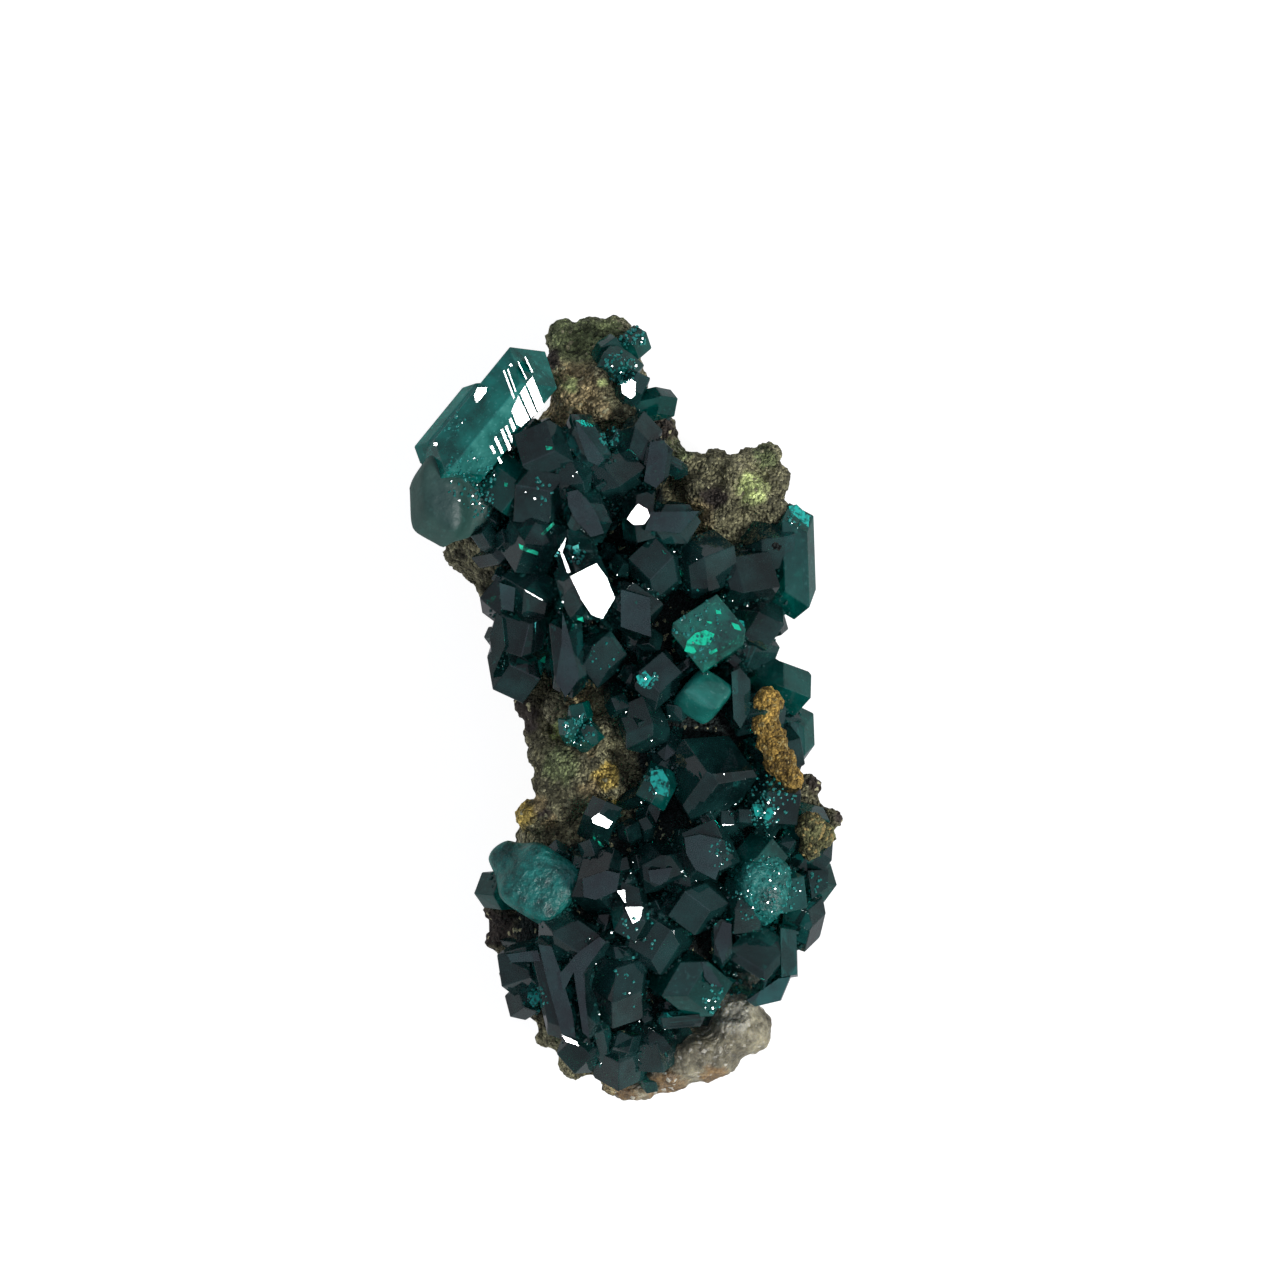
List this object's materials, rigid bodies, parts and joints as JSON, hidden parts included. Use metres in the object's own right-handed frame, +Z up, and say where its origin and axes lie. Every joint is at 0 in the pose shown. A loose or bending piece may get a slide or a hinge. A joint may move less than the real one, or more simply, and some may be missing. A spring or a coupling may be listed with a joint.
{
  "type": "dioptase crystal specimen",
  "caption": "Dark green dioptase crystals grown over a lumpy brown rock, with pale calcite at one end, lying on its flat broken back.",
  "frame": {"origin": "middle of the footprint, on the surface that the specimen rests on", "axes": "+Z up, towards the crystal face; +Y along the specimen to its narrow top; +X across it"},
  "size_m": [0.0216, 0.039, 0.0122],
  "materials": {
    "rock": "dull, knobbly, brown to olive with yellow-green coatings",
    "dioptase": "clear deep green crystal, glassy faces, some frosted",
    "calcite": "pale grey, granular, slightly translucent",
    "ochre": "earthy matt ochre coating"
  },
  "bodies": {
    "root": {"matrix": "rock", "dioptase_crust": "dioptase", "dioptase_waist_druse": "dioptase", "calcite": "calcite", "ochre_patch_upper": "ochre", "ochre_patch_lower": "ochre"}
  },
  "joints": []
}
